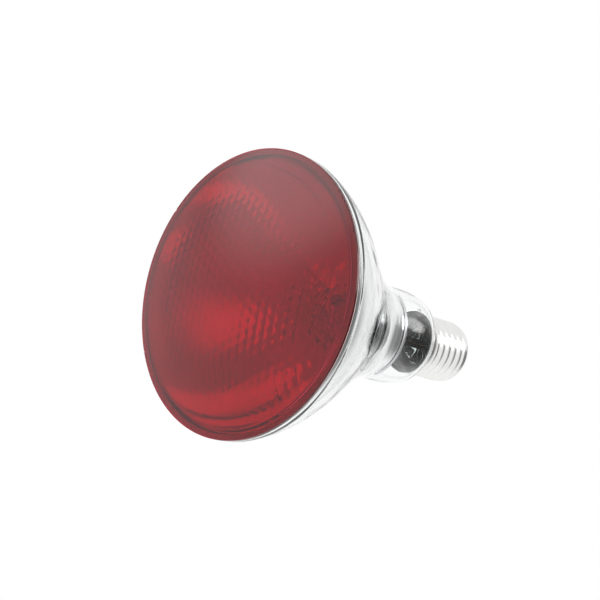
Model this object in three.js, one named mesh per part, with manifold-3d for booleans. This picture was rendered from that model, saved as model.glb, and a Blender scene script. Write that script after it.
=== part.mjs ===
// Red infrared reflector heat lamp, 121 mm wide and 138 mm long, with an E27 screw cap.
// Millimetres. The lamp's axis is Y: the red lens faces -Y and the cap points to +Y. The origin is the
// flat tip of the centre contact. Neighbouring pieces keep a small gap, the real ones touch or are fused.
import * as THREE from 'three';
import { mergeVertices } from 'three/addons/utils/BufferGeometryUtils.js';
import Module from 'manifold-3d';

const wasm = await Module();
wasm.setup();

// Driving dimensions
const LAMP_LENGTH = 138;
const LENS_RADIUS = 60.5;
const LENS_DOME_HEIGHT = 8.5;
const LENS_GLASS = 3;
const LENS_BAND = 1;
const LENS_EDGE_ROUND = 0.4;
const LENS_SPIGOT_RADIUS = 57.2;
const SEAL_THICKNESS = 0.6;
const SEAL_WIDTH = 2.6;
const BOWL_LIP_Y = -125.6;
const BOWL_GLASS = 2.4;
const NECK_GLASS = 1.5;
const FILM_THICKNESS = 0.3;
const GAP = 0.3;

const HEEL_RADIUS = 21.7;
const HEEL_Y = -60.9;
const GROOVE_Y = -53.3;
const NECK_END_Y = -22.9;

const SHELL_RIM_Y = -29.8;
const SHELL_RIM_RADIUS = 14.6;
const SHELL_SHEET = 0.4;
const SHELL_BORE = 11.45;
const SHELL_END_Y = -4.8;
const SHELL_END_RADIUS = 9.9;
const THREAD_PITCH = 3.629;
const THREAD_CREST = 13.1;
const THREAD_ROOT = 12.15;
const THREAD_START_Y = -26.6;
const THREAD_END_Y = -7.8;
const THREAD_FADE = 1.6;
const THREAD_LEAD_IN = 3.2;
const THREAD_ROWS = 32;
const CONTACT_FLAT_RADIUS = 2.2;

const STEM_RADIUS = 4.6;
const STEM_BORE = 3.4;
const STEM_FLARE_Y = -22.5;
const PRESS_WIDTH = 11;
const PRESS_THICKNESS = 3.2;
const PRESS_INNER_Y = -53;
const PRESS_OUTER_Y = -42.3;
const EXHAUST_RADIUS = 1.9;
const EXHAUST_BORE = 1.1;
const LEAD_SPREAD = 2.6;
const LEAD_BORE = 0.65;
const SEAL_WIRE_RADIUS = 0.3;
const INNER_LEAD_RADIUS = 0.5;
const OUTER_LEAD_RADIUS = 0.25;
const NOTCH_WIDTH = 1.3;
const FUSE_OFFSET = 4.6;

const SHIELD_RADIUS = 17.7;
const SHIELD_Y = -53.9;
const SHIELD_SHEET = 0.4;
const SHIELD_SLOT_MARGIN = 0.4;

const FILAMENT_Y = -76;
const FILAMENT_ARC_RADIUS = 9.5;
const FILAMENT_COIL_RADIUS = 0.9;
const FILAMENT_HALF_SWEEP = 150;
const HOOK_ANGLES = [-90, -30, 30, 90];
const HOOK_WIRE_RADIUS = 0.2;
const HOOK_CURL_CLEARANCE = 0.6;
const ROD_RADIUS = 1.2;
const BUTTON_RADIUS = 2.6;
const BUTTON_Y = -73;

const BODY_SEGMENTS = 36;
const CAP_SEGMENTS = 32;
const STEM_SEGMENTS = 24;
const SMALL_SEGMENTS = 16;

const lensEdgeY = LENS_DOME_HEIGHT - LAMP_LENGTH;
const lensBackY = lensEdgeY + LENS_BAND;
const bowlRimY = lensBackY + SEAL_THICKNESS + 2 * GAP;

// Each lathe outline is a list of [radius, y] points that runs with the outer side towards +Y.
const toVector = ([radius, y]) => new THREE.Vector2(radius, y);
const toPoint = (vector) => [vector.x, vector.y];

const lamp = new THREE.Group();

function addPiece(name, geometry, color, roughness, metalness) {
  const material = new THREE.MeshStandardMaterial({ color, roughness, metalness });
  const mesh = new THREE.Mesh(geometry, material);
  mesh.name = name;
  lamp.add(mesh);
}

function lathe(outline, segments) {
  return new THREE.LatheGeometry(outline.map(toVector), segments);
}

function latheRing(outline, segments) {
  return lathe([...outline, outline[0]], segments);
}

// A round wire along a smooth curve through [x, y, z] points.
function wire(points, radius, sides, steps) {
  const section = new THREE.Shape();
  section.absarc(0, 0, radius, 0, 2 * Math.PI, false);
  const path = new THREE.CatmullRomCurve3(points.map((p) => new THREE.Vector3(...p)), false, 'centripetal');
  return new THREE.ExtrudeGeometry(section, { steps, curveSegments: sides / 2, bevelEnabled: false,
    extrudePath: path });
}

function toSolid(geometry) {
  const plain = geometry.clone();
  plain.deleteAttribute('normal');
  plain.deleteAttribute('uv');
  const merged = mergeVertices(plain, 1e-4);
  return new wasm.Manifold(new wasm.Mesh({
    numProp: 3,
    vertProperties: new Float32Array(merged.attributes.position.array),
    triVerts: new Uint32Array(merged.index.array),
  }));
}

function toGeometry(solid) {
  const mesh = solid.getMesh();
  const geometry = new THREE.BufferGeometry();
  geometry.setAttribute('position', new THREE.BufferAttribute(mesh.vertProperties, 3));
  geometry.setIndex(new THREE.BufferAttribute(mesh.triVerts, 1));
  return geometry;
}

function boxSolid(size, centre) {
  return toSolid(new THREE.BoxGeometry(...size).translate(...centre));
}

// Moves each point of an open outline towards the axis side by a distance, at right angles to the outline.
function offsetInward(points, distance) {
  return points.map((point, i) => {
    const before = points[Math.max(i - 1, 0)];
    const after = points[Math.min(i + 1, points.length - 1)];
    const along = [after[0] - before[0], after[1] - before[1]];
    const length = Math.hypot(...along);
    return [point[0] - distance * along[1] / length, point[1] + distance * along[0] / length];
  });
}

// Points of a shallow dome, from the axis out to an edge radius, on a sphere of the given radius.
function domePoints(sphereRadius, apexY, edgeRadius, count) {
  const edgeAngle = Math.asin(edgeRadius / sphereRadius);
  return Array.from({ length: count + 1 }, (_, i) => {
    const angle = edgeAngle * i / count;
    return [sphereRadius * Math.sin(angle), apexY + sphereRadius * (1 - Math.cos(angle))];
  });
}

function frontLens() {
  const sphereRadius = (LENS_RADIUS ** 2 + LENS_DOME_HEIGHT ** 2) / (2 * LENS_DOME_HEIGHT);
  const outer = domePoints(sphereRadius, -LAMP_LENGTH, LENS_RADIUS - 1, 7);
  const inner = domePoints(sphereRadius, LENS_GLASS - LAMP_LENGTH, LENS_RADIUS - 4, 6);
  const band = [
    [LENS_RADIUS, lensEdgeY + LENS_EDGE_ROUND],
    [LENS_RADIUS, lensBackY],
    [LENS_SPIGOT_RADIUS, lensBackY],
  ];
  return lathe([...outer, ...band, ...inner.reverse()], BODY_SEGMENTS);
}

function rimSeal() {
  const outerRadius = LENS_RADIUS - 0.1;
  const low = lensBackY + GAP;
  const high = low + SEAL_THICKNESS;
  return latheRing([
    [outerRadius - SEAL_WIDTH, low],
    [outerRadius, low],
    [outerRadius, high],
    [outerRadius - SEAL_WIDTH, high],
  ], BODY_SEGMENTS);
}

// The bowl's outer side: a short straight lip, then an S-shaped curve down to the heel.
function bowlOuter(count) {
  const lip = new THREE.Vector2(LENS_RADIUS - 0.1, BOWL_LIP_Y);
  const heel = new THREE.Vector2(HEEL_RADIUS, HEEL_Y);
  const curve = new THREE.CubicBezierCurve(lip, new THREE.Vector2(53.6, -102),
    new THREE.Vector2(29.9, -84.6), heel);
  return [[lip.x, bowlRimY], ...curve.getPoints(count).map(toPoint)];
}

// The neck's outer side: a round bulge that closes in to a narrow end inside the cap.
function neckOuter(count) {
  const knots = [[19.6, GROOVE_Y], [20, -48.5], [19.9, -42.5], [19, -36.5], [17.3, -33.1], [15.2, -31],
    [13.2, -29.2], [11.2, -27.2], [9.9, -25], [9.4, NECK_END_Y]];
  return new THREE.SplineCurve(knots.map(toVector)).getPoints(count).map(toPoint);
}

const heelRing = [[21.1, -59.6], [20.6, -57.8], [20.2, -54.4]];

function reflectorBulb() {
  const outer = [...bowlOuter(11), ...heelRing, ...neckOuter(13)];
  const inner = [...offsetInward(bowlOuter(9), BOWL_GLASS), ...offsetInward(neckOuter(9), NECK_GLASS)];
  inner[0] = [inner[0][0], bowlRimY];
  inner[inner.length - 1] = [inner[inner.length - 1][0], NECK_END_Y];
  return latheRing([...outer, ...inner.reverse()], BODY_SEGMENTS);
}

// The film lines the bowl and goes on over the inside of the heel ring, down to the groove.
function mirrorFilm() {
  const bowl = offsetInward(bowlOuter(9).slice(0, -1), BOWL_GLASS + GAP);
  const outer = [...bowl, [18.8, HEEL_Y + GAP], [17.7, GROOVE_Y - 1.1]];
  const inner = offsetInward(outer, FILM_THICKNESS);
  outer[0][1] = bowlRimY + GAP;
  inner[0][1] = bowlRimY + GAP;
  return latheRing([...outer, ...inner.reverse()], BODY_SEGMENTS);
}

function heatShieldDisc() {
  const disc = new THREE.Shape();
  disc.absarc(0, 0, SHIELD_RADIUS, 0, 2 * Math.PI, false);
  const halfWidth = PRESS_WIDTH / 2 + SHIELD_SLOT_MARGIN;
  const halfThickness = PRESS_THICKNESS / 2 + SHIELD_SLOT_MARGIN;
  const slot = new THREE.Path([
    new THREE.Vector2(-halfWidth, -halfThickness),
    new THREE.Vector2(-halfWidth, halfThickness),
    new THREE.Vector2(halfWidth, halfThickness),
    new THREE.Vector2(halfWidth, -halfThickness),
  ]);
  disc.holes.push(slot);
  const sheet = new THREE.ExtrudeGeometry(disc, { depth: SHIELD_SHEET, curveSegments: SMALL_SEGMENTS,
    bevelEnabled: false });
  return sheet.rotateX(-Math.PI / 2).translate(0, SHIELD_Y, 0);
}

// A trumpet-shaped flare and tube, with the flat press that seals the wires.
function glassStem() {
  const tube = toSolid(lathe([
    [0, PRESS_OUTER_Y - 1.7],
    [STEM_BORE, PRESS_OUTER_Y - 1.2],
    [STEM_RADIUS, PRESS_OUTER_Y],
    [STEM_RADIUS, STEM_FLARE_Y - 9],
    [5.2, STEM_FLARE_Y - 5],
    [7.5, STEM_FLARE_Y],
    [6.8, STEM_FLARE_Y],
    [4.3, STEM_FLARE_Y - 5],
    [STEM_BORE, STEM_FLARE_Y - 9],
    [STEM_BORE, PRESS_OUTER_Y],
    [0, PRESS_OUTER_Y],
  ], STEM_SEGMENTS));
  const pressLength = PRESS_OUTER_Y - PRESS_INNER_Y - 0.2;
  const pressCentreY = PRESS_INNER_Y + pressLength / 2;
  const press = boxSolid([PRESS_WIDTH, pressLength, PRESS_THICKNESS], [0, pressCentreY, 0]);
  let stem = tube.add(press);
  for (const side of [-1, 1]) {
    const bore = new THREE.CylinderGeometry(LEAD_BORE, LEAD_BORE, 2 * pressLength, 8);
    bore.translate(side * LEAD_SPREAD, pressCentreY - 2, 0);
    stem = stem.subtract(toSolid(bore));
  }
  return toGeometry(stem);
}

function exhaustTube() {
  return lathe([
    [0, -17.3],
    [EXHAUST_BORE, -19.5],
    [EXHAUST_BORE, PRESS_OUTER_Y + GAP],
    [EXHAUST_RADIUS, PRESS_OUTER_Y + GAP],
    [EXHAUST_RADIUS, -19],
    [1.2, -16.7],
    [0, -16],
  ], SMALL_SEGMENTS);
}

function supportRod() {
  return lathe([
    [0, BUTTON_Y - 2],
    [1.6, BUTTON_Y - 1.6],
    [BUTTON_RADIUS, BUTTON_Y],
    [1.8, BUTTON_Y + 1.8],
    [ROD_RADIUS, BUTTON_Y + 2.6],
    [ROD_RADIUS, PRESS_INNER_Y - GAP],
    [0, PRESS_INNER_Y - GAP],
  ], SMALL_SEGMENTS);
}

// A point on a circle round the axis. Angle 0 points to +Z and 90 degrees to +X.
function around(radius, y, degrees) {
  const angle = THREE.MathUtils.degToRad(degrees);
  return [radius * Math.sin(angle), y, radius * Math.cos(angle)];
}

function filament() {
  const count = 12;
  const points = Array.from({ length: count + 1 }, (_, i) =>
    around(FILAMENT_ARC_RADIUS, FILAMENT_Y, FILAMENT_HALF_SWEEP * (2 * i / count - 1)));
  return wire(points, FILAMENT_COIL_RADIUS, 8, 28);
}

// A hook runs out from the button and curls once round the filament.
function supportHook(degrees) {
  const curlRadius = FILAMENT_COIL_RADIUS + HOOK_CURL_CLEARANCE;
  const curl = Array.from({ length: 8 }, (_, i) => {
    const turn = THREE.MathUtils.degToRad(180 - 38 * i);
    return around(FILAMENT_ARC_RADIUS + curlRadius * Math.cos(turn),
      FILAMENT_Y + curlRadius * Math.sin(turn), degrees);
  });
  const shank = [
    around(BUTTON_RADIUS + GAP + HOOK_WIRE_RADIUS, BUTTON_Y, degrees),
    around(5.4, BUTTON_Y - 0.2, degrees),
    around(7.4, BUTTON_Y - 1.2, degrees),
  ];
  return wire([...shank, ...curl], HOOK_WIRE_RADIUS, 6, 16);
}

function innerLead(side) {
  const endY = FILAMENT_Y + FILAMENT_COIL_RADIUS + GAP;
  const end = around(FILAMENT_ARC_RADIUS, endY, side * FILAMENT_HALF_SWEEP);
  return wire([
    [side * LEAD_SPREAD, PRESS_INNER_Y - GAP, 0],
    [side * LEAD_SPREAD, PRESS_INNER_Y - 4, 0],
    [end[0] - side * 0.8, FILAMENT_Y + 9, -5],
    [end[0], FILAMENT_Y + 4, end[2]],
    end,
  ], INNER_LEAD_RADIUS, 8, 10);
}

function sealWire(side) {
  const length = PRESS_OUTER_Y - PRESS_INNER_Y - 2 * GAP;
  const rod = new THREE.CylinderGeometry(SEAL_WIRE_RADIUS, SEAL_WIRE_RADIUS, length, 8);
  return rod.translate(side * LEAD_SPREAD, (PRESS_OUTER_Y + PRESS_INNER_Y) / 2, 0);
}

function outerLeadCentre() {
  return wire([
    [LEAD_SPREAD, PRESS_OUTER_Y + GAP, 0],
    [LEAD_SPREAD, -31, 0],
    [4.1, -25, 0],
    [FUSE_OFFSET, -21.8, 0],
    [FUSE_OFFSET, -15, 0],
    [2.8, -9.6, 0],
    [0.6, -5.4, 0],
    [0, -1.5, 0],
  ], OUTER_LEAD_RADIUS, 6, 22);
}

// The side lead turns a quarter round the stem, then passes over the neck's end to the notch in the rim.
function outerLeadSide() {
  const route = [[LEAD_SPREAD, PRESS_OUTER_Y + GAP, -90], [LEAD_SPREAD, -31, -90], [3.5, -27, -60],
    [5, -23.8, -32], [7, -21.2, -10], [10, -20.6, 0], [10.6, -23.6, 0], [10.9, -25.9, 0], [11.8, -27.3, 0],
    [13.2, -28.5, 0], [14.3, -28.7, 0]];
  return wire(route.map((stop) => around(...stop)), OUTER_LEAD_RADIUS, 6, 26);
}

function leadFuse() {
  return latheRing([[0.7, -21.2], [1.3, -21.2], [1.3, -15.6], [0.7, -15.6]], 12).translate(FUSE_OFFSET, 0, 0);
}

function basingCement() {
  const ring = latheRing([
    [13.2, -28.9],
    [13.5, -28.9],
    [12.6, -27.1],
    [11.1, -26.1],
    [11.1, -19.5],
    [9.9, -19.5],
    [9.9, -23.5],
    [10.5, -25.3],
    [11.75, -27.1],
  ], CAP_SEGMENTS);
  const leadSlot = boxSolid([NOTCH_WIDTH, 12, 6], [0, -24, 12]);
  return toGeometry(toSolid(ring).subtract(leadSlot));
}

// 1 along the thread and 0 outside it, with a smooth run-in and run-out.
function threadWindow(y) {
  const runIn = THREE.MathUtils.smoothstep(y, THREAD_START_Y, THREAD_START_Y + THREAD_FADE);
  const runOut = THREE.MathUtils.smoothstep(-y, -THREAD_END_Y, -THREAD_END_Y + THREAD_FADE);
  return runIn * runOut;
}

function screwShell() {
  const meanRadius = (THREAD_CREST + THREAD_ROOT) / 2;
  const threadDepth = (THREAD_CREST - THREAD_ROOT) / 2;
  const threadSide = Array.from({ length: THREAD_ROWS + 1 }, (_, i) =>
    [meanRadius, THREAD_START_Y + (THREAD_END_Y - THREAD_START_Y) * i / THREAD_ROWS]);
  const collar = [[SHELL_RIM_RADIUS, SHELL_RIM_Y], [14.3, -28.7], [13.7, -27.5], [13, -26.9]];
  const curledEnd = [[12.5, -6.8], [11.8, -5.6], [10.8, SHELL_END_Y], [SHELL_END_RADIUS, SHELL_END_Y],
    [SHELL_END_RADIUS, -5.3], [10.6, -5.3], [SHELL_BORE, -6.3]];
  const bore = [[SHELL_BORE, -25.9], [13.2, -27.2], [13.9, -28.7],
    [SHELL_RIM_RADIUS - SHELL_SHEET, SHELL_RIM_Y]];
  const shell = latheRing([...collar, ...threadSide, ...curledEnd, ...bore], CAP_SEGMENTS);
  const position = shell.attributes.position;
  const crestY = THREAD_START_Y + THREAD_LEAD_IN;
  for (let i = 0; i < position.count; i += 1) {
    const [x, y, z] = [position.getX(i), position.getY(i), position.getZ(i)];
    const radius = Math.hypot(x, z);
    const outside = Math.abs(radius - meanRadius) < 1e-3;
    const wave = Math.cos(2 * Math.PI * (y - crestY) / THREAD_PITCH - Math.atan2(x, z));
    const factor = outside ? 1 + threadDepth * threadWindow(y) * wave / radius : 1;
    position.setXYZ(i, x * factor, y, z * factor);
  }
  const leadNotch = boxSolid([NOTCH_WIDTH, 3, 3], [0, SHELL_RIM_Y + 1.1, SHELL_RIM_RADIUS - 0.5]);
  return toGeometry(toSolid(shell).subtract(leadNotch));
}

function insulator() {
  return latheRing([
    [1.2, -3.2],
    [3, -4],
    [7.6, -8.4],
    [11.1, -8.4],
    [11.1, -6.9],
    [9.5, -5.8],
    [9.5, -4.5],
    [5.6, -2.2],
    [1.2, -2.2],
  ], CAP_SEGMENTS);
}

function contactPlate() {
  return latheRing([[1.2, -1.9], [5.2, -1.9], [5, -1.3], [1.2, -1.3]], CAP_SEGMENTS);
}

function centreSolder() {
  const dome = [[0, -1], [3.4, -1], [3.2, -0.7], [2.8, -0.3], [CONTACT_FLAT_RADIUS, 0], [0, 0]];
  return lathe(dome, STEM_SEGMENTS);
}

function sideSolder() {
  return new THREE.SphereGeometry(1, 10, 8).scale(1.5, 1.1, 0.85)
    .translate(0, SHELL_RIM_Y + 1.1, SHELL_RIM_RADIUS + 0.9);
}

addPiece('front_lens', frontLens(), 0x8a2028, 0.05, 0);
addPiece('rim_seal', rimSeal(), 0xe8d8d4, 0.4, 0);
addPiece('reflector_bulb', reflectorBulb(), 0xe9edee, 0.03, 0);
addPiece('mirror_film', mirrorFilm(), 0xe4e6e8, 0.06, 1);
addPiece('heat_shield_disc', heatShieldDisc(), 0xb9bcc0, 0.3, 1);
addPiece('glass_stem', glassStem(), 0xdfe5e6, 0.05, 0);
addPiece('exhaust_tube', exhaustTube(), 0xdfe5e6, 0.05, 0);
addPiece('support_rod', supportRod(), 0xdfe5e6, 0.05, 0);
HOOK_ANGLES.forEach((degrees, i) => {
  addPiece(`support_hook_${i + 1}`, supportHook(degrees), 0x8d8f92, 0.35, 1);
});
addPiece('filament', filament(), 0x5b5c60, 0.5, 1);
addPiece('inner_lead_left', innerLead(-1), 0xa9a59c, 0.3, 1);
addPiece('inner_lead_right', innerLead(1), 0xa9a59c, 0.3, 1);
addPiece('seal_wire_left', sealWire(-1), 0x8f4a33, 0.4, 1);
addPiece('seal_wire_right', sealWire(1), 0x8f4a33, 0.4, 1);
addPiece('outer_lead_centre', outerLeadCentre(), 0xb87352, 0.35, 1);
addPiece('outer_lead_side', outerLeadSide(), 0xb87352, 0.35, 1);
addPiece('lead_fuse', leadFuse(), 0xdfe5e6, 0.1, 0);
addPiece('basing_cement', basingCement(), 0x3b3836, 0.9, 0);
addPiece('screw_shell', screwShell(), 0xc4c6c8, 0.18, 1);
addPiece('insulator', insulator(), 0x141416, 0.12, 0);
addPiece('contact_plate', contactPlate(), 0xc39a4e, 0.3, 1);
addPiece('centre_solder', centreSolder(), 0xa9abad, 0.4, 1);
addPiece('side_solder', sideSolder(), 0xa9abad, 0.4, 1);

export default lamp;
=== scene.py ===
# Red infrared reflector heat lamp with an E27 screw cap, lying level with its axis along Y.
# The red lens faces -Y, the cap points to +Y and the origin is the flat tip of the centre contact.
# Sizes are in millimetres and become metres where a mesh is made.
import math

import bmesh
import bpy
from mathutils import Matrix, Vector, noise


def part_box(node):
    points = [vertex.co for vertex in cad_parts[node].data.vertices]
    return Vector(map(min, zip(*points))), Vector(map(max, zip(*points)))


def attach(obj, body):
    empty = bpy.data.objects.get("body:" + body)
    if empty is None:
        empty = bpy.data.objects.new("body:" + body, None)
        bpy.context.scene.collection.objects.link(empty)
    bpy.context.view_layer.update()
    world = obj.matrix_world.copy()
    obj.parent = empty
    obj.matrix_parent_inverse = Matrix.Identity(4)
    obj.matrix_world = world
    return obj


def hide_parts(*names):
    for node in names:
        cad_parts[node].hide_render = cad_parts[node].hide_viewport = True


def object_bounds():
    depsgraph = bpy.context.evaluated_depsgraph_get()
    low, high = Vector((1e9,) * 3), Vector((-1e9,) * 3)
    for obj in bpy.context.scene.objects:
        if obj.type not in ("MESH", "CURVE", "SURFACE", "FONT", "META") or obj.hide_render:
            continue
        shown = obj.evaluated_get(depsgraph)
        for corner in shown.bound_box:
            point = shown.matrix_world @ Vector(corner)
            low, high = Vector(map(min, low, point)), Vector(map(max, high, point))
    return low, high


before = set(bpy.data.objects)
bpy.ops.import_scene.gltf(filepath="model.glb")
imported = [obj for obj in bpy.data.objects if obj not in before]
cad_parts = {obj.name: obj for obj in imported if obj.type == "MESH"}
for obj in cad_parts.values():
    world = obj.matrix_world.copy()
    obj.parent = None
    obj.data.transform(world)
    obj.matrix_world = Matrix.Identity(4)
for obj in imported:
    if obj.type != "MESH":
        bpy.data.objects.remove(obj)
cad_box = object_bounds()

# ---------------------------------------------------------------------------------------------
# Camera: level with the lamp, in front and to its right, rolled so that the cap hangs lower.
# A long lens from about a metre and a half keeps the lens's ellipse nearly free of perspective.
# ---------------------------------------------------------------------------------------------
VIEW_AZIMUTH = math.radians(45.44)
VIEW_ROLL = math.radians(16.62)
VIEW_DISTANCE = 1.4727
VIEW_LENS = 218.3
AIM_LEFT = 0.0215
AIM_UP = 0.0026
DOME_HEIGHT = 0.0085

lens_low, lens_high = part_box("front_lens")
aim = Vector((0, lens_low.y + DOME_HEIGHT, 0))
forward = Vector((-math.sin(VIEW_AZIMUTH), math.cos(VIEW_AZIMUTH), 0))
level_right = Vector((math.cos(VIEW_AZIMUTH), math.sin(VIEW_AZIMUTH), 0))
view_right = math.cos(VIEW_ROLL) * level_right + math.sin(VIEW_ROLL) * Vector((0, 0, 1))
view_up = view_right.cross(forward)
camera_data = bpy.data.cameras.new("camera")
camera_data.lens = VIEW_LENS
camera_data.sensor_width = 36
camera_data.clip_end = 100
camera = bpy.data.objects.new("camera", camera_data)
turn = Matrix((view_right, view_up, -forward)).transposed()
camera.matrix_world = turn.to_4x4()
camera.location = aim - VIEW_DISTANCE * forward + AIM_LEFT * view_right - AIM_UP * view_up
bpy.context.scene.collection.objects.link(camera)
bpy.context.scene.camera = camera

# ---------------------------------------------------------------------------------------------
# Studio: a white room with a pale floor far below the lamp. Two softboxes stand in front, one to
# each side, with a back light and a grey wall behind. The camera itself sees plain white.
# ---------------------------------------------------------------------------------------------
FLOOR_DROP = 1.6
FLOOR_RADIUS = 1.2
ROOM_WHITE = 1.0
# Azimuth (0 in front of the lens, 90 at +X), elevation, inner and outer half angle, brightness
PANELS = {
    "grey wall behind": (150, 0, 10, 40, 0.2),
    "left softbox": (-45, 30, 10, 30, 2.5),
    "right softbox": (45, 30, 10, 30, 2.5),
    "back light": (140, 30, 5, 15, 4.0),
}

bpy.context.scene.view_settings.view_transform = "Standard"

floor_mesh = bmesh.new()
bmesh.ops.create_circle(floor_mesh, cap_ends=True, segments=96, radius=FLOOR_RADIUS,
                        matrix=Matrix.Translation((0, cad_box[0][1] / 2, -FLOOR_DROP)))
floor_data = bpy.data.meshes.new("floor")
floor_mesh.to_mesh(floor_data)
floor = bpy.data.objects.new("floor", floor_data)
bpy.context.scene.collection.objects.link(floor)
floor_material = bpy.data.materials.new("pale floor")
floor_material.use_nodes = True
floor_shader = floor_material.node_tree.nodes["Principled BSDF"]
floor_shader.inputs["Base Color"].default_value = (0.86, 0.86, 0.86, 1)
floor_shader.inputs["Roughness"].default_value = 0.9
floor_data.materials.append(floor_material)

world = bpy.data.worlds.new("studio")
bpy.context.scene.world = world
world.use_nodes = True
room = world.node_tree
room.nodes.clear()
direction = room.nodes.new("ShaderNodeTexCoord")


def hang_panel(level, azimuth, elevation, inner, outer, brightness):
    """Puts a round panel with a soft edge over the room's brightness so far, or over a white room."""
    a, e = math.radians(azimuth), math.radians(elevation)
    facing = room.nodes.new("ShaderNodeVectorMath")
    facing.operation = "DOT_PRODUCT"
    facing.inputs[1].default_value = (math.sin(a) * math.cos(e), -math.cos(a) * math.cos(e), math.sin(e))
    edge = room.nodes.new("ShaderNodeMapRange")
    edge.interpolation_type = "SMOOTHSTEP"
    edge.inputs["From Min"].default_value = math.cos(math.radians(outer))
    edge.inputs["From Max"].default_value = math.cos(math.radians(inner))
    over = room.nodes.new("ShaderNodeMix")
    over.data_type = "FLOAT"
    over.inputs["A"].default_value = ROOM_WHITE
    over.inputs["B"].default_value = brightness
    room.links.new(direction.outputs["Generated"], facing.inputs[0])
    room.links.new(facing.outputs["Value"], edge.inputs["Value"])
    room.links.new(edge.outputs["Result"], over.inputs["Factor"])
    if level is not None:
        room.links.new(level, over.inputs["A"])
    return over.outputs["Result"]


level = None
for panel in PANELS.values():
    level = hang_panel(level, *panel)
seen = room.nodes.new("ShaderNodeLightPath")
pick = room.nodes.new("ShaderNodeMix")
pick.data_type = "FLOAT"
pick.inputs["B"].default_value = ROOM_WHITE
background = room.nodes.new("ShaderNodeBackground")
background.inputs["Color"].default_value = (1, 1, 1, 1)
output = room.nodes.new("ShaderNodeOutputWorld")
room.links.new(seen.outputs["Is Camera Ray"], pick.inputs["Factor"])
room.links.new(level, pick.inputs["A"])
room.links.new(pick.outputs["Result"], background.inputs["Strength"])
room.links.new(background.outputs["Background"], output.inputs["Surface"])

# ---------------------------------------------------------------------------------------------
# Front lens: a shallow dome of ruby glass, pressed in one piece with a short band at its edge.
# The outside is polished. The inside is covered with small round lenticules in a hexagonal
# pattern, which fade out towards the edge, so that the heat is spread evenly.
# ---------------------------------------------------------------------------------------------
MM = 0.001
LENS_RADIUS = 60.5
LENS_APEX_Y = -138
LENS_DOME_HEIGHT = 8.5
LENS_BACK_Y = -128.5
LENS_GLASS = 3
LENTICULE_PITCH = 4.5
LENTICULE_HEIGHT = 0.34
LENTICULE_TURN = math.radians(-24)
LATTICE_STEP = LENTICULE_PITCH / 6
FADE_START = 44
FADE_END = 55
SKIRT_RADIUS = 57.2
SKIRT_BLEND = 2.2
EDGE_ROUND = 0.45
lens_sphere = (LENS_RADIUS ** 2 + LENS_DOME_HEIGHT ** 2) / (2 * LENS_DOME_HEIGHT)


def material_named(name, color, roughness, metallic=0.0, transmission=0.0, ior=1.5):
    """A new material with its constants on the shader. Returns it with its node tree and shader."""
    material = bpy.data.materials.new(name)
    material.use_nodes = True
    shader = material.node_tree.nodes["Principled BSDF"]
    shader.inputs["Base Color"].default_value = (*color, 1)
    shader.inputs["Roughness"].default_value = roughness
    shader.inputs["Metallic"].default_value = metallic
    shader.inputs["Transmission Weight"].default_value = transmission
    shader.inputs["IOR"].default_value = ior
    return material, material.node_tree, shader


def new_group(name, inputs, outputs):
    """An empty shader node group with number or vector inputs and number outputs."""
    group = bpy.data.node_groups.new(name, "ShaderNodeTree")
    for label, kind in inputs.items():
        group.interface.new_socket(label, in_out="INPUT", socket_type=kind)
    for label in outputs:
        group.interface.new_socket(label, in_out="OUTPUT", socket_type="NodeSocketFloat")
    return group, group.nodes.new("NodeGroupInput"), group.nodes.new("NodeGroupOutput")


# Surface grain: soft noise at one size, as a height and as a number between Low and High.
grain_group, grain_in, grain_out = new_group(
    "surface grain",
    {"Vector": "NodeSocketVector", "Fineness": "NodeSocketFloat",
     "Low": "NodeSocketFloat", "High": "NodeSocketFloat"},
    ["Height", "Value"])
grain_noise = grain_group.nodes.new("ShaderNodeTexNoise")
grain_noise.inputs["Detail"].default_value = 3
grain_range = grain_group.nodes.new("ShaderNodeMapRange")
grain_range.inputs["From Min"].default_value = 0.3
grain_range.inputs["From Max"].default_value = 0.7
grain_group.links.new(grain_in.outputs["Vector"], grain_noise.inputs["Vector"])
grain_group.links.new(grain_in.outputs["Fineness"], grain_noise.inputs["Scale"])
grain_group.links.new(grain_noise.outputs["Fac"], grain_range.inputs["Value"])
grain_group.links.new(grain_in.outputs["Low"], grain_range.inputs["To Min"])
grain_group.links.new(grain_in.outputs["High"], grain_range.inputs["To Max"])
grain_group.links.new(grain_noise.outputs["Fac"], grain_out.inputs["Height"])
grain_group.links.new(grain_range.outputs["Result"], grain_out.inputs["Value"])


def add_grain(tree, fineness, low, high, stretch=(1, 1, 1)):
    """Places the grain group, on object coordinates stretched along one axis or more."""
    place = tree.nodes.new("ShaderNodeTexCoord")
    mapping = tree.nodes.new("ShaderNodeMapping")
    mapping.inputs["Scale"].default_value = stretch
    node = tree.nodes.new("ShaderNodeGroup")
    node.node_tree = grain_group
    node.inputs["Fineness"].default_value = fineness
    node.inputs["Low"].default_value = low
    node.inputs["High"].default_value = high
    tree.links.new(place.outputs["Object"], mapping.inputs["Vector"])
    tree.links.new(mapping.outputs["Vector"], node.inputs["Vector"])
    return node


def add_bump(tree, shader, height, strength, distance):
    bump = tree.nodes.new("ShaderNodeBump")
    bump.inputs["Strength"].default_value = strength
    bump.inputs["Distance"].default_value = distance
    tree.links.new(height, bump.inputs["Height"])
    tree.links.new(bump.outputs["Normal"], shader.inputs["Normal"])


def two_colors(tree, shader, mask, color_a, color_b):
    """Mixes two colours over the surface by a mask and feeds the base colour."""
    mix = tree.nodes.new("ShaderNodeMix")
    mix.data_type = "RGBA"
    mix.inputs["A"].default_value = (*color_a, 1)
    mix.inputs["B"].default_value = (*color_b, 1)
    tree.links.new(mask, mix.inputs["Factor"])
    tree.links.new(mix.outputs["Result"], shader.inputs["Base Color"])


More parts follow.
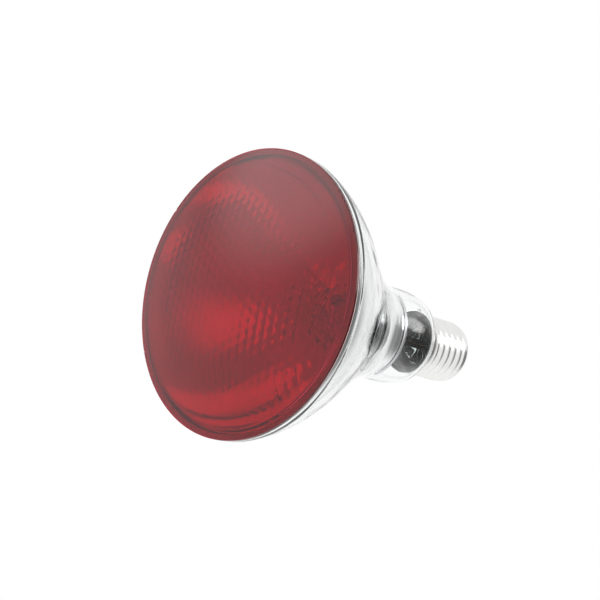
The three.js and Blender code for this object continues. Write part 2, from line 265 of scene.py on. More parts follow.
def finish_piece(name, bm, material, slot, *nodes, sharp=35):
    """Turns a finished bmesh, in millimetres, into a smooth piece that stands for its CAD nodes."""
    bmesh.ops.scale(bm, vec=(MM, MM, MM), verts=bm.verts)
    if bm.calc_volume(signed=True) < 0:
        bmesh.ops.reverse_faces(bm, faces=bm.faces)
    mesh = bpy.data.meshes.new(name)
    bm.to_mesh(mesh)
    bm.free()
    mesh.shade_smooth()
    mesh.set_sharp_from_angle(angle=math.radians(sharp))
    mesh.materials.append(material)
    piece = bpy.data.objects.new(name, mesh)
    bpy.context.scene.collection.objects.link(piece)
    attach(piece, "root")
    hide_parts(*nodes)
    return piece


def dome_y(radius, apex_y, sphere_radius):
    return apex_y + sphere_radius - math.sqrt(sphere_radius ** 2 - radius ** 2)


def smooth_step(value, low, high):
    t = min(max((value - low) / (high - low), 0), 1)
    return t * t * (3 - 2 * t)


def to_nearest_cell(x, z):
    """Distance from a point to the nearest lenticule's middle, on a turned hexagonal lattice."""
    cos_t, sin_t = math.cos(LENTICULE_TURN), math.sin(LENTICULE_TURN)
    u = (x * cos_t + z * sin_t) / LENTICULE_PITCH
    v = (-x * sin_t + z * cos_t) / LENTICULE_PITCH
    row = 2 * v / math.sqrt(3)
    best = 9.0
    for r in (math.floor(row), math.floor(row) + 1):
        column = u - r / 2
        for c in (math.floor(column), math.floor(column) + 1):
            best = min(best, math.hypot(u - c - r / 2, v - r * math.sqrt(3) / 2))
    return best * LENTICULE_PITCH


def lens_inner_y(x, z):
    """The lens's inner face: a flat edge outside the skirt, then a dome with its lenticules."""
    radius = math.hypot(x, z)
    dome = dome_y(radius, LENS_APEX_Y + LENS_GLASS, lens_sphere - LENS_GLASS)
    fade = 1 - min(max((radius - FADE_START) / (FADE_END - FADE_START), 0), 1)
    shape = 1 - (to_nearest_cell(x, z) / (LENTICULE_PITCH / math.sqrt(3))) ** 2
    bump = LENTICULE_HEIGHT * (0.25 + 0.75 * fade) * shape
    edge = smooth_step(radius, SKIRT_RADIUS - SKIRT_BLEND, SKIRT_RADIUS)
    return (dome + bump) * (1 - edge) + LENS_BACK_Y * edge


def triangle_disc(radius, step, turn):
    """A flat disc of even triangles in the XZ plane, in millimetres, with a round edge."""
    disc = bmesh.new()
    count = 2 * math.ceil(1.62 * radius / step)
    bmesh.ops.create_grid(disc, x_segments=count, y_segments=count, size=count * step / 2)
    shear = Matrix(((1, 0.5, 0), (0, math.sqrt(3) / 2, 0), (0, 0, 1)))
    rotation = Matrix.Rotation(turn, 3, "Z")
    bmesh.ops.transform(disc, matrix=(rotation @ shear).to_4x4(), verts=disc.verts)
    outside = [v for v in disc.verts if v.co.length > radius - 0.4 * step]
    bmesh.ops.delete(disc, geom=outside, context="VERTS")
    bmesh.ops.triangulate(disc, faces=disc.faces, quad_method="SHORT_EDGE")
    loose = [v for v in disc.verts if not v.link_faces]
    bmesh.ops.delete(disc, geom=loose, context="VERTS")
    for vert in disc.verts:
        if vert.is_boundary:
            vert.co = vert.co.normalized() * radius
    bmesh.ops.transform(disc, matrix=Matrix.Rotation(math.pi / 2, 4, "X"), verts=disc.verts)
    return disc


lens = triangle_disc(LENS_RADIUS, LATTICE_STEP, LENTICULE_TURN)
inner_side = list(lens.verts)
extruded = bmesh.ops.extrude_face_region(lens, geom=lens.faces[:])["geom"]
outer_side = [part for part in extruded if isinstance(part, bmesh.types.BMVert)]
for vert in outer_side:
    vert.co.y = dome_y(math.hypot(vert.co.x, vert.co.z), LENS_APEX_Y, lens_sphere)
for vert in inner_side:
    vert.co.y = lens_inner_y(vert.co.x, vert.co.z)
outer_set = set(outer_side)
front_edge = [e for e in lens.edges if e.calc_face_angle(0) > 0.6 and all(v in outer_set for v in e.verts)]
bmesh.ops.bevel(lens, geom=front_edge, offset=EDGE_ROUND, offset_type="OFFSET", segments=4, profile=0.5,
                affect="EDGES", material=-1)
bmesh.ops.recalc_face_normals(lens, faces=lens.faces)

lens_glass, tree, shader = material_named("ruby lens glass", (0.47, 0.007, 0.035), 0.02, transmission=0.93)
melt = add_grain(tree, 28, 0.0, 1.0)
two_colors(tree, shader, melt.outputs["Value"], (0.44, 0.006, 0.030), (0.51, 0.008, 0.042))
handling = add_grain(tree, 160, 0.012, 0.035)
tree.links.new(handling.outputs["Value"], shader.inputs["Roughness"])
finish_piece("red_lens", lens, lens_glass, "red_glass", "front_lens", sharp=60)

# ---------------------------------------------------------------------------------------------
# Rim seal: a thin pale bead of sealant that joins the lens to the reflector all the way round.
# It is run in soft, so its surface is slightly uneven and matt.
# ---------------------------------------------------------------------------------------------
SEAL_RADIUS = 60.3
SEAL_INNER_RADIUS = 57.8
BOWL_RIM_Y = -127.8
TOUCH = 0.03
ROUND_STEPS = 160


def revolve(outline, steps):
    """A closed solid turned about the lamp's axis. Outline points are (radius, y) or, for a
    rounded corner, (radius, y, corner radius). An outline off the axis closes on itself."""
    bm = bmesh.new()
    ring = [bm.verts.new((point[0], point[1], 0)) for point in outline]
    pairs = list(zip(ring, ring[1:]))
    if outline[0][0] > 0:
        pairs.append((ring[-1], ring[0]))
    for a, b in pairs:
        bm.edges.new((a, b))
    for vert, point in zip(ring, outline):
        if len(point) == 3:
            bmesh.ops.bevel(bm, geom=[vert], offset=point[2], offset_type="OFFSET", segments=4,
                            profile=0.5, affect="VERTICES", material=-1)
    bmesh.ops.spin(bm, geom=bm.verts[:] + bm.edges[:], cent=(0, 0, 0), axis=(0, 1, 0),
                   angle=2 * math.pi, steps=steps, use_merge=True)
    bmesh.ops.remove_doubles(bm, verts=bm.verts, dist=1e-4)
    bmesh.ops.recalc_face_normals(bm, faces=bm.faces)
    return bm


seal = revolve([
    (SEAL_INNER_RADIUS, LENS_BACK_Y + TOUCH),
    (SEAL_RADIUS, LENS_BACK_Y + TOUCH, 0.25),
    (SEAL_RADIUS, BOWL_RIM_Y - TOUCH, 0.25),
    (SEAL_INNER_RADIUS, BOWL_RIM_Y - TOUCH),
], ROUND_STEPS)
sealant, tree, shader = material_named("pale rim sealant", (0.82, 0.68, 0.66), 0.5)
run = add_grain(tree, 220, 0.35, 0.6)
two_colors(tree, shader, run.outputs["Height"], (0.86, 0.74, 0.72), (0.76, 0.60, 0.58))
tree.links.new(run.outputs["Value"], shader.inputs["Roughness"])
add_bump(tree, shader, run.outputs["Height"], 0.5, 0.0002)
finish_piece("rim_bead", seal, sealant, "rim_sealant", "rim_seal")

# ---------------------------------------------------------------------------------------------
# Reflector glass: one pressed and blown body of clear glass. The wide bowl runs down in an
# S-curve to a heel ring, then a round bulbous neck closes in to the end that sits in the cap.
# ---------------------------------------------------------------------------------------------
BOWL_GLASS = 2.4
NECK_GLASS = 1.5
BOWL_CURVE = [(60.4, -125.6), (53.6, -102), (29.9, -84.6), (21.7, -60.9)]
HEEL_RING = [(21.15, -59.9, 0.4), (20.65, -58.2, 0.8), (20.3, -54.3, 0.4)]
NECK_KNOTS = [(19.6, -53.3), (20, -48.5), (19.9, -42.5), (19, -36.5), (17.3, -33.1), (15.2, -31),
              (13.2, -29.2), (11.2, -27.2), (9.9, -25), (9.4, -22.9)]


def bezier(knots, count):
    """Points on a cubic curve with two end points and two handles."""
    a, b, c, d = (Vector(k) for k in knots)
    points = []
    for i in range(count + 1):
        t = i / count
        s = 1 - t
        points.append(tuple(s ** 3 * a + 3 * s * s * t * b + 3 * s * t * t * c + t ** 3 * d))
    return points


def smooth_line(knots, per_span):
    """Points on a smooth curve that passes through every knot."""
    knots = [Vector(k) for k in knots]
    padded = [knots[0], *knots, knots[-1]]
    points = []
    for a, b, c, d in zip(padded, padded[1:], padded[2:], padded[3:]):
        for i in range(per_span):
            t = i / per_span
            points.append(0.5 * (2 * b + (c - a) * t + (2 * a - 5 * b + 4 * c - d) * t * t
                                 + (3 * b - a - 3 * c + d) * t ** 3))
    return [tuple(p) for p in points] + [tuple(knots[-1])]


def offset_inward(points, distance):
    """Moves an open outline towards the axis, at right angles to itself."""
    moved = []
    for i, (radius, y) in enumerate(points):
        before, after = points[max(i - 1, 0)], points[min(i + 1, len(points) - 1)]
        along = Vector((after[0] - before[0], after[1] - before[1])).normalized()
        moved.append((radius - distance * along.y, y + distance * along.x))
    return moved


bowl_outside = [(BOWL_CURVE[0][0], BOWL_RIM_Y)] + bezier(BOWL_CURVE, 40)
neck_outside = smooth_line(NECK_KNOTS, 5)
bowl_inside = offset_inward(bowl_outside, BOWL_GLASS)
neck_inside = offset_inward(neck_outside, NECK_GLASS)
bowl_inside[0] = (bowl_inside[0][0], BOWL_RIM_Y)
neck_inside[-1] = (neck_inside[-1][0], NECK_KNOTS[-1][1])
glass_outline = bowl_outside + HEEL_RING + neck_outside + neck_inside[::-1] + bowl_inside[::-1]
glass_body = revolve(glass_outline, ROUND_STEPS)

clear_glass, tree, shader = material_named("clear pressed glass", (0.97, 0.985, 0.98), 0.0,
                                           transmission=1.0)
mould = add_grain(tree, 34, 0.0, 0.02, (1, 0.5, 1))
tree.links.new(mould.outputs["Value"], shader.inputs["Roughness"])
add_bump(tree, shader, mould.outputs["Height"], 0.12, 0.002)
finish_piece("reflector_glass", glass_body, clear_glass, "clear_glass", "reflector_bulb")

# ---------------------------------------------------------------------------------------------
# Mirror film: bright aluminium, vapour-deposited on the inside of the bowl and the heel ring.
# It ends at the groove, so the neck behind it stays clear.
# ---------------------------------------------------------------------------------------------
FILM_THICKNESS = 0.08
FILM_END = (17.9, -54.4)

film_outside = offset_inward(bowl_outside, BOWL_GLASS + TOUCH)
film_outside[0] = (film_outside[0][0], BOWL_RIM_Y + TOUCH)
film_outside.append(FILM_END)
film_inside = offset_inward(film_outside, FILM_THICKNESS)
film_inside[0] = (film_inside[0][0], BOWL_RIM_Y + TOUCH)
film = revolve(film_outside + film_inside[::-1], ROUND_STEPS)
silver, tree, shader = material_named("bright mirror film", (0.93, 0.935, 0.94), 0.03, metallic=1.0)
haze = add_grain(tree, 60, 0.02, 0.07)
two_colors(tree, shader, haze.outputs["Height"], (0.95, 0.955, 0.96), (0.90, 0.905, 0.91))
tree.links.new(haze.outputs["Value"], shader.inputs["Roughness"])
finish_piece("silver_film", film, silver, "mirror_film", "mirror_film")

# ---------------------------------------------------------------------------------------------
# Heat shield disc: a stamped disc of bright sheet across the neck, with a slot for the press.
# It keeps the filament's heat off the cap. Its rim is turned up and the sheet shows its rolling marks.
# ---------------------------------------------------------------------------------------------
SHIELD_RADIUS = 17.7
SHIELD_Y = -54.2
SHIELD_SHEET = 0.4
SHIELD_SLOT = (5.9, 2.0)
SLOT_SQUARENESS = 5
RIM_TURN = 0.7
RING_STEPS = 64


def flat_ring(bm, half_x, half_z, y, squareness=2):
    """A ring of vertices round the axis, from a circle (2) to nearly a rectangle (8)."""
    place = Matrix.Rotation(math.pi / 2, 4, "X")
    made = bmesh.ops.create_circle(bm, segments=RING_STEPS, radius=1, matrix=place)["verts"]
    power = 2 / squareness
    for vert in made:
        vert.co.x = half_x * math.copysign(abs(vert.co.x) ** power, vert.co.x)
        vert.co.z = half_z * math.copysign(abs(vert.co.z) ** power, vert.co.z)
        vert.co.y = y
    return made


def join_rings(bm, rings):
    """Fills between each ring of vertices and the next with four-sided faces."""
    for a, b in zip(rings, rings[1:]):
        for i in range(RING_STEPS):
            bm.faces.new((a[i - 1], a[i], b[i], b[i - 1]))
    bmesh.ops.recalc_face_normals(bm, faces=bm.faces)


shield_rings = [(SHIELD_RADIUS, RIM_TURN), (SHIELD_RADIUS - 0.6, 0.12), (SHIELD_RADIUS - 1.8, 0), (9, 0)]
shield = bmesh.new()
sides = []
for lift in (SHIELD_SHEET, 0):
    side = [flat_ring(shield, r, r, SHIELD_Y + y + lift) for r, y in shield_rings]
    side.append(flat_ring(shield, *SHIELD_SLOT, SHIELD_Y + lift, SLOT_SQUARENESS))
    sides.append(side)
join_rings(shield, [*sides[0], *sides[1][::-1], sides[0][0]])

sheet, tree, shader = material_named("stamped shield sheet", (0.62, 0.63, 0.65), 0.3, metallic=1.0)
rolled = add_grain(tree, 320, 0.22, 0.42, (1, 1, 0.08))
two_colors(tree, shader, rolled.outputs["Height"], (0.55, 0.56, 0.58), (0.72, 0.73, 0.75))
tree.links.new(rolled.outputs["Value"], shader.inputs["Roughness"])
add_bump(tree, shader, rolled.outputs["Height"], 0.25, 0.0001)
finish_piece("shield_disc", shield, sheet, "shield_sheet", "heat_shield_disc")

# ---------------------------------------------------------------------------------------------
# Stem: a drawn glass tube, flared where it is fused to the neck's end. Its inner end is heated and
# pinched flat round the wires, which makes the gas-tight press.
# ---------------------------------------------------------------------------------------------
STEM_RADIUS = 4.6
STEM_BORE = 3.4
FLARE_Y = -22.5
PRESS_OUTER_Y = -42.3
PRESS_INNER_Y = -53
PRESS_HALF = (5.5, 1.6)
PRESS_SQUARE = 5
PRESS_ROUND = 0.5
FLARE_RADIUS = 7.5
FLARE_BORE = 6.9

stem = bmesh.new()
half_x, half_z = PRESS_HALF
press_rings = [
    (half_x - PRESS_ROUND, half_z - PRESS_ROUND, PRESS_INNER_Y, 4),
    (half_x, half_z, PRESS_INNER_Y + 0.6, PRESS_SQUARE),
    (half_x, half_z, PRESS_OUTER_Y - 4.2, PRESS_SQUARE),
    (5.4, 2.2, PRESS_OUTER_Y - 2.6, 3.2),
    (5, 3.6, PRESS_OUTER_Y - 0.8, 2.3),
    (STEM_RADIUS, STEM_RADIUS, PRESS_OUTER_Y + 1.2, 2),
]
tube_outside = smooth_line([(STEM_RADIUS, PRESS_OUTER_Y + 3), (STEM_RADIUS, FLARE_Y - 9),
                            (5.2, FLARE_Y - 5), (FLARE_RADIUS, FLARE_Y)], 5)
tube_inside = smooth_line([(FLARE_BORE, FLARE_Y + 0.1), (4.3, FLARE_Y - 5),
                           (STEM_BORE, FLARE_Y - 9), (STEM_BORE, PRESS_OUTER_Y + 3)], 5)
bore_end = [(3.2, PRESS_OUTER_Y + 0.6), (2.2, PRESS_OUTER_Y - 0.4), (0.5, PRESS_OUTER_Y - 0.8)]
stem_rings = [flat_ring(stem, *ring) for ring in press_rings]
stem_rings += [flat_ring(stem, r, r, y) for r, y in tube_outside + tube_inside + bore_end]
stem.faces.new(stem_rings[0])
stem.faces.new(stem_rings[-1])
join_rings(stem, stem_rings)

mount_glass, tree, shader = material_named("drawn mount glass", (0.92, 0.97, 0.96), 0.01, transmission=1.0)
drawn = add_grain(tree, 90, 0.0, 0.05, (1, 0.2, 1))
tree.links.new(drawn.outputs["Value"], shader.inputs["Roughness"])
add_bump(tree, shader, drawn.outputs["Height"], 0.2, 0.0006)
finish_piece("flared_stem", stem, mount_glass, "stem_glass", "glass_stem")

# ---------------------------------------------------------------------------------------------
# Exhaust tube: the thin glass tube through which the lamp is pumped out and filled. It runs up
# inside the stem and is melted shut at its outer end.
# ---------------------------------------------------------------------------------------------
EXHAUST_RADIUS = 1.9
EXHAUST_BORE = 1.1
EXHAUST_TIP_Y = -16

exhaust = revolve([
    (0, EXHAUST_TIP_Y - 1.3), (0.7, EXHAUST_TIP_Y - 2.1), (EXHAUST_BORE, EXHAUST_TIP_Y - 3.5),
    (EXHAUST_BORE, PRESS_OUTER_Y + 0.3), (EXHAUST_RADIUS, PRESS_OUTER_Y + 0.3),
    (EXHAUST_RADIUS, EXHAUST_TIP_Y - 3, 0.6), (1.35, EXHAUST_TIP_Y - 1.4),
    (0.9, EXHAUST_TIP_Y - 0.5), (0.4, EXHAUST_TIP_Y - 0.1), (0, EXHAUST_TIP_Y),
], RING_STEPS)
finish_piece("sealed_exhaust_tube", exhaust, mount_glass, "stem_glass", "exhaust_tube")

# ---------------------------------------------------------------------------------------------
# Button rod: a solid glass rod that grows out of the press. Its free end is melted into a button,
# which carries the filament's hooks.
# ---------------------------------------------------------------------------------------------
ROD_RADIUS = 1.2
BUTTON_RADIUS = 2.6
BUTTON_Y = -73
ROD_STEPS = 48

button_line = smooth_line([(0, BUTTON_Y - 2), (1.7, BUTTON_Y - 1.6), (BUTTON_RADIUS, BUTTON_Y),
                           (1.9, BUTTON_Y + 1.7), (1.25, BUTTON_Y + 2.9), (ROD_RADIUS, BUTTON_Y + 4.5)], 5)
rod = revolve(button_line + [(ROD_RADIUS, PRESS_INNER_Y - TOUCH), (0, PRESS_INNER_Y - TOUCH)], ROD_STEPS)
finish_piece("button_rod", rod, mount_glass, "stem_glass", "support_rod")

# ---------------------------------------------------------------------------------------------
# Filament: tungsten wire wound in a close coil and bent to an arc round the axis. It is left
# dull and dark by its first firing.
# ---------------------------------------------------------------------------------------------
ARC_RADIUS = 9.5
FILAMENT_Y = -76
ARC_HALF_SWEEP = 150
COIL_RADIUS = 0.78
COIL_WIRE = 0.12
COIL_TURNS = 104
COIL_STEPS = 12


def around(radius, y, degrees):
    """A point on a circle round the axis. Angle 0 points to +Z and 90 degrees to +X."""
    angle = math.radians(degrees)
    return (radius * math.sin(angle), y, radius * math.cos(angle))


def swept_wire(path, radius, sides=10):
    """A round wire: a disc pushed along the path, turned with it at every point."""
    bm = bmesh.new()
    points = [Vector(p) for p in path]
    heading = (points[1] - points[0]).normalized()
    tilt = Vector((0, 0, 1)).rotation_difference(heading).to_matrix().to_4x4()
    bmesh.ops.create_circle(bm, cap_ends=True, segments=sides, radius=radius,
                            matrix=Matrix.Translation(points[0]) @ tilt)
    face = bm.faces[:][0]
    for i in range(1, len(points)):
        ahead = points[min(i + 1, len(points) - 1)] - points[i - 1]
        step = heading.rotation_difference(ahead.normalized()).to_matrix().to_4x4()
        made = bmesh.ops.extrude_face_region(bm, geom=[face])["geom"]
        if i > 1:
            bmesh.ops.delete(bm, geom=[face], context="FACES_ONLY")
        face = next(part for part in made if isinstance(part, bmesh.types.BMFace))
        move = Matrix.Translation(points[i]) @ step @ Matrix.Translation(-points[i - 1])
        bmesh.ops.transform(bm, matrix=move, verts=face.verts[:])
        heading = ahead.normalized()
    bmesh.ops.recalc_face_normals(bm, faces=bm.faces)
    return bm


arc_length = 2 * math.radians(ARC_HALF_SWEEP) * ARC_RADIUS
coil = bmesh.new()
wire_section = Matrix.Translation((COIL_RADIUS, 0, 0)) @ Matrix.Rotation(math.pi / 2, 4, "X")
bmesh.ops.create_circle(coil, segments=6, radius=COIL_WIRE, matrix=wire_section)
bmesh.ops.spin(coil, geom=coil.verts[:] + coil.edges[:], cent=(0, 0, 0), axis=(0, 0, 1),
               dvec=(0, 0, arc_length / (COIL_TURNS * COIL_STEPS)), angle=2 * math.pi * COIL_TURNS,
               steps=COIL_TURNS * COIL_STEPS, use_merge=False)
bmesh.ops.holes_fill(coil, edges=[e for e in coil.edges if e.is_boundary], sides=0)
for vert in coil.verts:
    x, y, along = vert.co
    vert.co = around(ARC_RADIUS + x, FILAMENT_Y + y, ARC_HALF_SWEEP * (2 * along / arc_length - 1))
bmesh.ops.recalc_face_normals(coil, faces=coil.faces)

tungsten, tree, shader = material_named("coiled tungsten", (0.2, 0.2, 0.215), 0.45, metallic=1.0)
fired = add_grain(tree, 700, 0.35, 0.6)
two_colors(tree, shader, fired.outputs["Height"], (0.15, 0.15, 0.17), (0.28, 0.28, 0.29))
tree.links.new(fired.outputs["Value"], shader.inputs["Roughness"])
finish_piece("coiled_filament", coil, tungsten, "tungsten_wire", "filament")

# ---------------------------------------------------------------------------------------------
# Filament hooks: four molybdenum wires melted into the button. Each runs out to the filament and
# is curled once round the coil.
# ---------------------------------------------------------------------------------------------
HOOK_ANGLES = (-90, -30, 30, 90)
HOOK_WIRE = 0.2
HOOK_CURL = 1.15

molybdenum, tree, shader = material_named("molybdenum wire", (0.42, 0.43, 0.45), 0.35, metallic=1.0)
die_marks = add_grain(tree, 500, 0.25, 0.45, (1, 0.15, 1))
two_colors(tree, shader, die_marks.outputs["Height"], (0.36, 0.37, 0.39), (0.52, 0.53, 0.55))
tree.links.new(die_marks.outputs["Value"], shader.inputs["Roughness"])
for number, degrees in enumerate(HOOK_ANGLES, start=1):
    shank = [around(BUTTON_RADIUS - 0.4, BUTTON_Y, degrees), around(5.4, BUTTON_Y - 0.3, degrees),
             around(7.2, BUTTON_Y - 1.3, degrees)]
    curl = []
    for i in range(9):
        turn_angle = math.radians(160 - 38 * i)
        curl.append(around(ARC_RADIUS + HOOK_CURL * math.cos(turn_angle),
                           FILAMENT_Y + HOOK_CURL * math.sin(turn_angle), degrees + 1.2 * (i - 4)))
    hook = swept_wire(smooth_line(shank + curl, 4), HOOK_WIRE, 8)
    finish_piece(f"filament_hook_{number}", hook, molybdenum, "molybdenum_wire", f"support_hook_{number}")

# ---------------------------------------------------------------------------------------------
# Leads: nickel wires from the press to the filament's ends, red copper-clad wires sealed in the
# press, and bare copper wires on to the cap's contact and shell.
# ---------------------------------------------------------------------------------------------
LEAD_SPREAD = 2.6
LEAD_BEND = 0.8
INNER_LEAD_RADIUS = 0.5
SEAL_WIRE_RADIUS = 0.3
OUTER_LEAD_RADIUS = 0.25
OUTER_LEAD_Y = PRESS_OUTER_Y - 0.9
FUSE_OFFSET = 4.6

nickel_wire, tree, shader = material_named("nickel lead wire", (0.64, 0.62, 0.58), 0.3, metallic=1.0)
pulled = add_grain(tree, 420, 0.2, 0.42, (1, 0.12, 1))
two_colors(tree, shader, pulled.outputs["Height"], (0.56, 0.54, 0.50), (0.72, 0.70, 0.67))
tree.links.new(pulled.outputs["Value"], shader.inputs["Roughness"])
clad_wire, tree, shader = material_named("sealed copper-clad wire", (0.5, 0.2, 0.13), 0.4, metallic=1.0)
borate = add_grain(tree, 600, 0.3, 0.55)
two_colors(tree, shader, borate.outputs["Height"], (0.42, 0.13, 0.08), (0.62, 0.27, 0.17))
tree.links.new(borate.outputs["Value"], shader.inputs["Roughness"])
copper, tree, shader = material_named("bare copper wire", (0.72, 0.42, 0.29), 0.3, metallic=1.0)
dulled = add_grain(tree, 380, 0.22, 0.5)
two_colors(tree, shader, dulled.outputs["Height"], (0.60, 0.33, 0.22), (0.80, 0.50, 0.36))
tree.links.new(dulled.outputs["Value"], shader.inputs["Roughness"])

for name, side in (("left", -1), ("right", 1)):
    end = around(ARC_RADIUS, FILAMENT_Y + 0.5, side * ARC_HALF_SWEEP)
    inner = swept_wire(smooth_line([
        (side * LEAD_SPREAD, PRESS_INNER_Y + 0.2, 0),
        (side * LEAD_SPREAD, PRESS_INNER_Y - 4, 0),
        (end[0] - side * LEAD_BEND, FILAMENT_Y + 9, -5),
        (end[0], FILAMENT_Y + 4, end[2]),
        end,
    ], 8), INNER_LEAD_RADIUS, 12)
    finish_piece(f"lead_to_filament_{name}", inner, nickel_wire, "nickel_wire", f"inner_lead_{name}")
    sealed = revolve([(0, PRESS_INNER_Y + 0.5), (SEAL_WIRE_RADIUS, PRESS_INNER_Y + 0.5, 0.1),
                      (SEAL_WIRE_RADIUS, PRESS_OUTER_Y - 1, 0.1), (0, PRESS_OUTER_Y - 1)], 16)
    bmesh.ops.translate(sealed, vec=(side * LEAD_SPREAD, 0, 0), verts=sealed.verts)
    finish_piece(f"sealed_wire_{name}", sealed, clad_wire, "copper_clad_wire", f"seal_wire_{name}")

centre_route = [(LEAD_SPREAD, OUTER_LEAD_Y, 0), (LEAD_SPREAD, -31, 0), (4.1, -25, 0),
                (FUSE_OFFSET, -21.8, 0), (FUSE_OFFSET, -15, 0), (2.8, -9.6, 0), (0.6, -5.4, 0),
                (0, -1.2, 0)]
finish_piece("lead_to_contact", swept_wire(smooth_line(centre_route, 6), OUTER_LEAD_RADIUS), copper,
             "copper_wire", "outer_lead_centre")
# Radius, y and angle of each bend of the lead to the shell
side_route = [(LEAD_SPREAD, OUTER_LEAD_Y, -90), (LEAD_SPREAD, -31, -90), (3.5, -27, -60),
              (5, -23.8, -32), (7, -21.2, -10), (10, -20.6, 0), (10.6, -23.6, 0), (10.9, -25.9, 0),
              (11.8, -27.3, 0), (13.2, -28.5, 0), (14.6, -28.8, 0)]
side_points = smooth_line([around(*stop) for stop in side_route], 6)
finish_piece("lead_to_shell", swept_wire(side_points, OUTER_LEAD_RADIUS), copper, "copper_wire",
             "outer_lead_side")

# ---------------------------------------------------------------------------------------------
# Fuse sleeve: a short glass tube slipped over the thin middle of the centre lead, so that the
# wire can melt there without an arc to the shell.
# ---------------------------------------------------------------------------------------------
FUSE_RADIUS = 1.3
FUSE_BORE = 0.7
FUSE_START_Y = -21.2
FUSE_END_Y = -15.6

fuse = revolve([(FUSE_BORE, FUSE_START_Y, 0.15), (FUSE_RADIUS, FUSE_START_Y, 0.25),
                (FUSE_RADIUS, FUSE_END_Y, 0.25), (FUSE_BORE, FUSE_END_Y, 0.15)], 32)
bmesh.ops.translate(fuse, vec=(FUSE_OFFSET, 0, 0), verts=fuse.verts)
finish_piece("fuse_sleeve", fuse, mount_glass, "stem_glass", "lead_fuse")

# ---------------------------------------------------------------------------------------------
# Basing cement: a ring of dark resin cement that bonds the glass neck into the screw shell.
# It is rough where it was squeezed out, and greyer where the heat has cured it.
# ---------------------------------------------------------------------------------------------
CEMENT_OUTLINE = [(13.35, -28.9, 0.2), (13.65, -28.8, 0.1), (12.8, -27.1), (11.25, -26.1),
                  (11.25, -19.5, 0.3), (9.95, -19.5, 0.3), (10.0, -23.5), (10.55, -25.3), (11.6, -27.0)]
CAP_STEPS = 96

cement = revolve(CEMENT_OUTLINE, CAP_STEPS)
resin, tree, shader = material_named("cured basing cement", (0.12, 0.11, 0.10), 0.85)
sand = add_grain(tree, 450, 0.75, 0.95)
two_colors(tree, shader, sand.outputs["Height"], (0.07, 0.065, 0.06), (0.22, 0.20, 0.185))
tree.links.new(sand.outputs["Value"], shader.inputs["Roughness"])
add_bump(tree, shader, sand.outputs["Height"], 0.8, 0.0004)
finish_piece("cement_ring", cement, resin, "basing_cement", "basing_cement")

# ---------------------------------------------------------------------------------------------
# Screw shell: thin bright sheet rolled into the E27 round thread. A flared collar holds the
# glass, and the far end curls in over the insulator.
# ---------------------------------------------------------------------------------------------
THREAD_PITCH = 3.629
THREAD_MEAN = 12.62
THREAD_DEPTH = 0.47
THREAD_Y = (-26.6, -7.8)
THREAD_FADE = 1.6
THREAD_CREST_Y = -23.4
SHEET = 0.3
COLLAR = [(14.55, -29.75), (14.3, -28.7), (13.7, -27.5), (13.0, -26.95), (12.68, -26.75)]
END_CURL = [(12.6, -7.5), (12.45, -6.7), (11.9, -5.7), (11.1, -5.05), (10.3, -4.85), (9.95, -4.9)]
THREAD_STEPS = 120

thread_length = THREAD_Y[1] - THREAD_Y[0]
thread_outside = [(THREAD_MEAN, THREAD_Y[0] + thread_length * i / THREAD_STEPS)
                  for i in range(THREAD_STEPS + 1)]
shell_outside = smooth_line(COLLAR, 4) + thread_outside + smooth_line(END_CURL, 4)
shell_inside = offset_inward(shell_outside, SHEET)
shell = revolve(shell_outside + shell_inside[::-1], ROUND_STEPS)
for vert in shell.verts:
    radius = math.hypot(vert.co.x, vert.co.z)
    y = vert.co.y
    window = smooth_step(y, THREAD_Y[0], THREAD_Y[0] + THREAD_FADE)
    window *= 1 - smooth_step(y, THREAD_Y[1] - THREAD_FADE, THREAD_Y[1])
    wave = math.cos(2 * math.pi * (y - THREAD_CREST_Y) / THREAD_PITCH - math.atan2(vert.co.x, vert.co.z))
    factor = 1 + THREAD_DEPTH * window * wave / radius
    vert.co.x *= factor
    vert.co.z *= factor

cap_metal, tree, shader = material_named("bright cap metal", (0.80, 0.80, 0.79), 0.15, metallic=1.0)
turned = add_grain(tree, 500, 0.11, 0.24, (0.06, 1, 0.06))
two_colors(tree, shader, turned.outputs["Height"], (0.74, 0.735, 0.72), (0.86, 0.86, 0.86))
tree.links.new(turned.outputs["Value"], shader.inputs["Roughness"])
add_bump(tree, shader, turned.outputs["Height"], 0.15, 0.00005)
finish_piece("threaded_shell", shell, cap_metal, "cap_shell", "screw_shell")

# ---------------------------------------------------------------------------------------------
# Insulator: a cone of black glass, pressed into the end of the shell. It holds the brass contact
# plate clear of the shell.
# ---------------------------------------------------------------------------------------------
CENTRE_HOLE = 1.2
CONE_BACK = [(CENTRE_HOLE, -3.2, 0.2), (3, -4), (7.6, -8.4, 0.4)]
CONE_FRONT = [(11.1, -8.4, 0.4), (11.1, -6.9, 0.4), (9.55, -5.8, 0.2), (9.5, -4.5, 0.7),
              (5.6, -2.2, 0.6), (CENTRE_HOLE, -2.2, 0.2)]

cone = revolve(CONE_BACK + CONE_FRONT, CAP_STEPS)
black_glass, tree, shader = material_named("black cap glass", (0.012, 0.012, 0.014), 0.1)
pressed = add_grain(tree, 260, 0.06, 0.2)
two_colors(tree, shader, pressed.outputs["Height"], (0.008, 0.008, 0.010), (0.022, 0.021, 0.024))
tree.links.new(pressed.outputs["Value"], shader.inputs["Roughness"])
add_bump(tree, shader, pressed.outputs["Height"], 0.3, 0.0003)
finish_piece("black_glass_cone", cone, black_glass, "black_glass", "insulator")

# ---------------------------------------------------------------------------------------------
# Contact plate: a small stamped brass washer on the end of the insulator. The centre lead comes
# up through its hole.
# ---------------------------------------------------------------------------------------------
PLATE_INNER_Y = -2.15
PLATE_OUTER_Y = -1.3

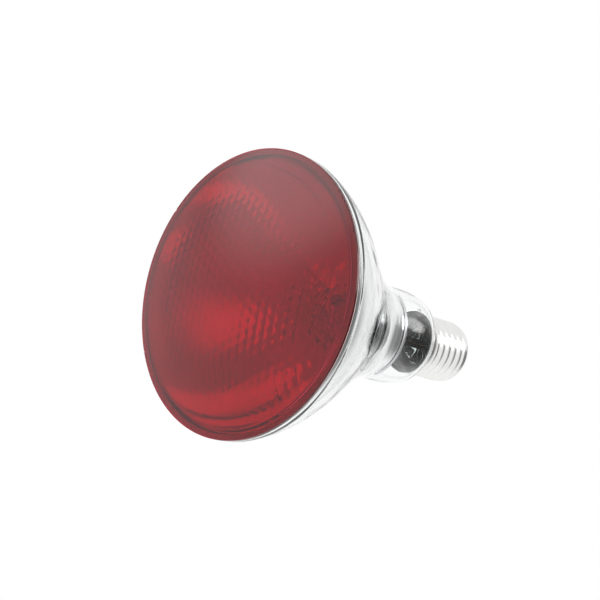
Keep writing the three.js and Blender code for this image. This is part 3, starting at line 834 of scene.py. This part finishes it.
plate = revolve([(CENTRE_HOLE, PLATE_INNER_Y, 0.1), (5.25, PLATE_INNER_Y, 0.1),
                 (5.05, PLATE_OUTER_Y, 0.35), (CENTRE_HOLE, PLATE_OUTER_Y, 0.15)], CAP_STEPS)
brass, tree, shader = material_named("stamped brass", (0.72, 0.53, 0.25), 0.3, metallic=1.0)
tarnish = add_grain(tree, 240, 0.2, 0.48)
two_colors(tree, shader, tarnish.outputs["Height"], (0.56, 0.38, 0.16), (0.84, 0.66, 0.36))
tree.links.new(tarnish.outputs["Value"], shader.inputs["Roughness"])
finish_piece("brass_contact", plate, brass, "cap_brass", "contact_plate")

# ---------------------------------------------------------------------------------------------
# Solder: a dome that closes the plate's hole round the centre lead and ends in a small flat, and
# a drop that fixes the side lead to the shell's collar. Both have set slightly lumpy.
# ---------------------------------------------------------------------------------------------
CONTACT_FLAT = 2.2
SOLDER_BASE_Y = -1.25
SIDE_DROP_SIZE = (1.5, 1.1, 0.85)
SIDE_DROP_PLACE = (0, -28.7, 15.2)

solder_metal, tree, shader = material_named("cooled solder", (0.6, 0.61, 0.63), 0.35, metallic=1.0)
frost = add_grain(tree, 900, 0.25, 0.55)
two_colors(tree, shader, frost.outputs["Height"], (0.48, 0.49, 0.51), (0.72, 0.73, 0.75))
tree.links.new(frost.outputs["Value"], shader.inputs["Roughness"])
add_bump(tree, shader, frost.outputs["Height"], 0.35, 0.0001)

dome_line = smooth_line([(3.5, SOLDER_BASE_Y), (3.3, -0.85), (2.9, -0.4), (2.5, -0.12), (CONTACT_FLAT, 0)], 4)
centre_drop = revolve([(0, SOLDER_BASE_Y)] + dome_line + [(0, 0)], 72)
for vert in centre_drop.verts:
    if -1.2 < vert.co.y < -0.02:
        lump = 1 + 0.05 * noise.noise(Vector(vert.co) * 0.8)
        vert.co.x *= lump
        vert.co.z *= lump
finish_piece("contact_solder", centre_drop, solder_metal, "solder", "centre_solder")

side_drop = bmesh.new()
bmesh.ops.create_icosphere(side_drop, subdivisions=4, radius=1)
for vert in side_drop.verts:
    vert.co *= 1 + 0.12 * noise.noise(Vector(vert.co) * 1.6)
bmesh.ops.scale(side_drop, vec=SIDE_DROP_SIZE, verts=side_drop.verts)
bmesh.ops.translate(side_drop, vec=SIDE_DROP_PLACE, verts=side_drop.verts)
finish_piece("side_solder_drop", side_drop, solder_metal, "solder", "side_solder")
